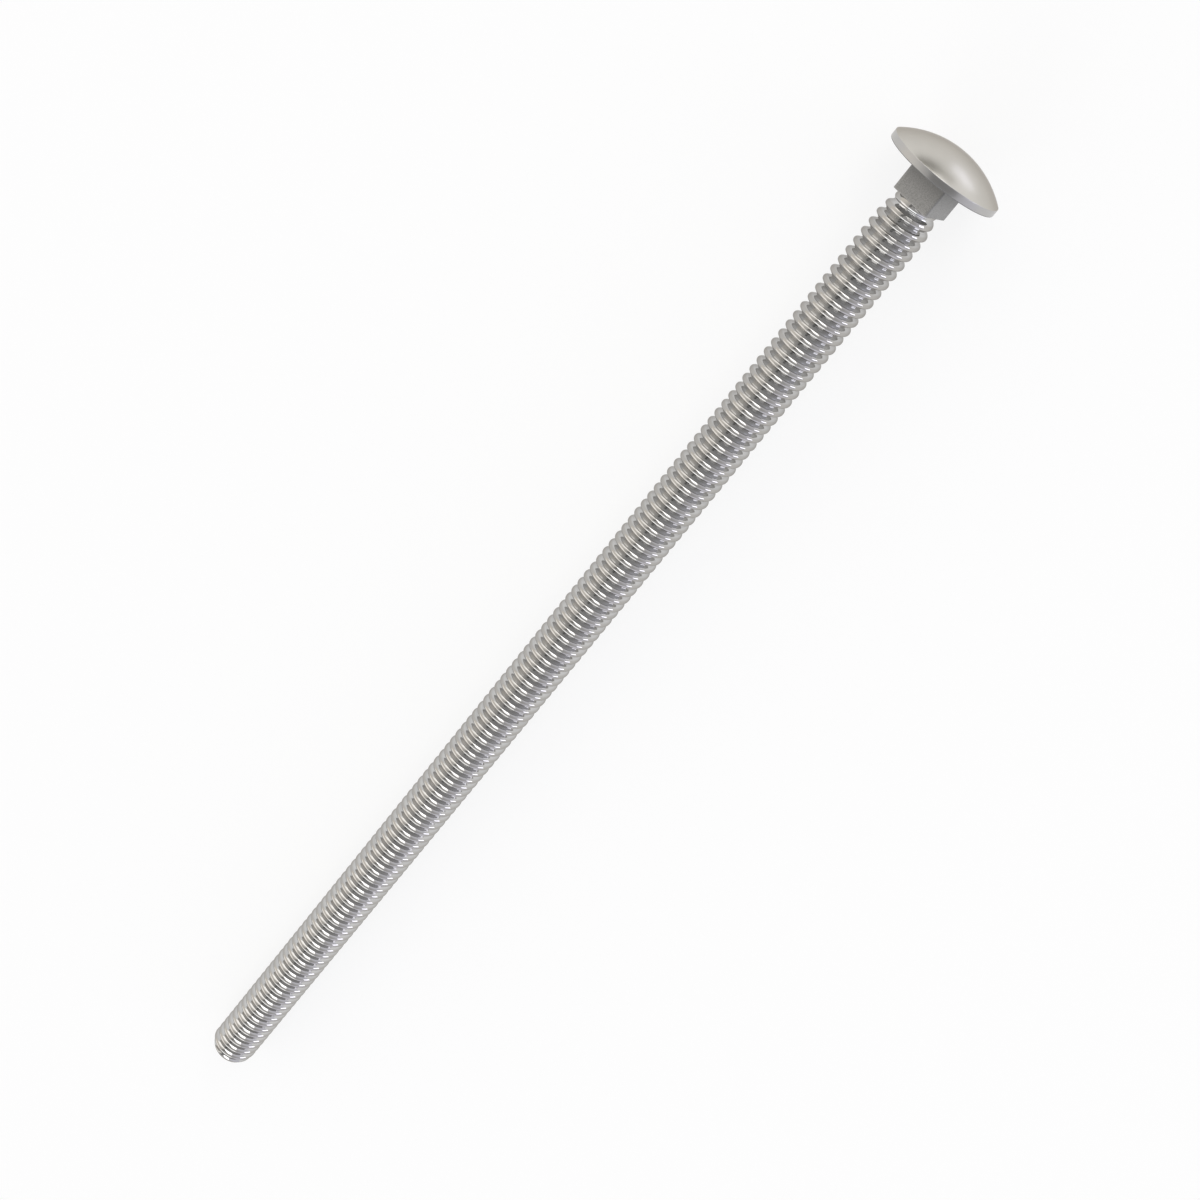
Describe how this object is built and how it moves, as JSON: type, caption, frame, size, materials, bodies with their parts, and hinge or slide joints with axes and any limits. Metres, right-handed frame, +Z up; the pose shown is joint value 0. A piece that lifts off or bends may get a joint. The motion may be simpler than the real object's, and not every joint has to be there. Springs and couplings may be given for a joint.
{
  "type": "carriage bolt",
  "caption": "Fully threaded carriage bolt: shallow domed head, square neck that stops it turning in its hole, and a long shank for a nut.",
  "frame": {"origin": "centre of the bearing face under the head, on the bolt's axis", "axes": "+X along the bolt from tip to head, 1.35 degrees off level because the bolt lies on its rim and tip; +Y level, across the bolt; +Z up from the surface it lies on"},
  "size_m": [0.1542, 0.0132, 0.0132],
  "materials": {
    "bright_steel": "satin head, bright rolled thread"
  },
  "bodies": {
    "root": {"carriage_bolt": "bright_steel"}
  },
  "joints": []
}
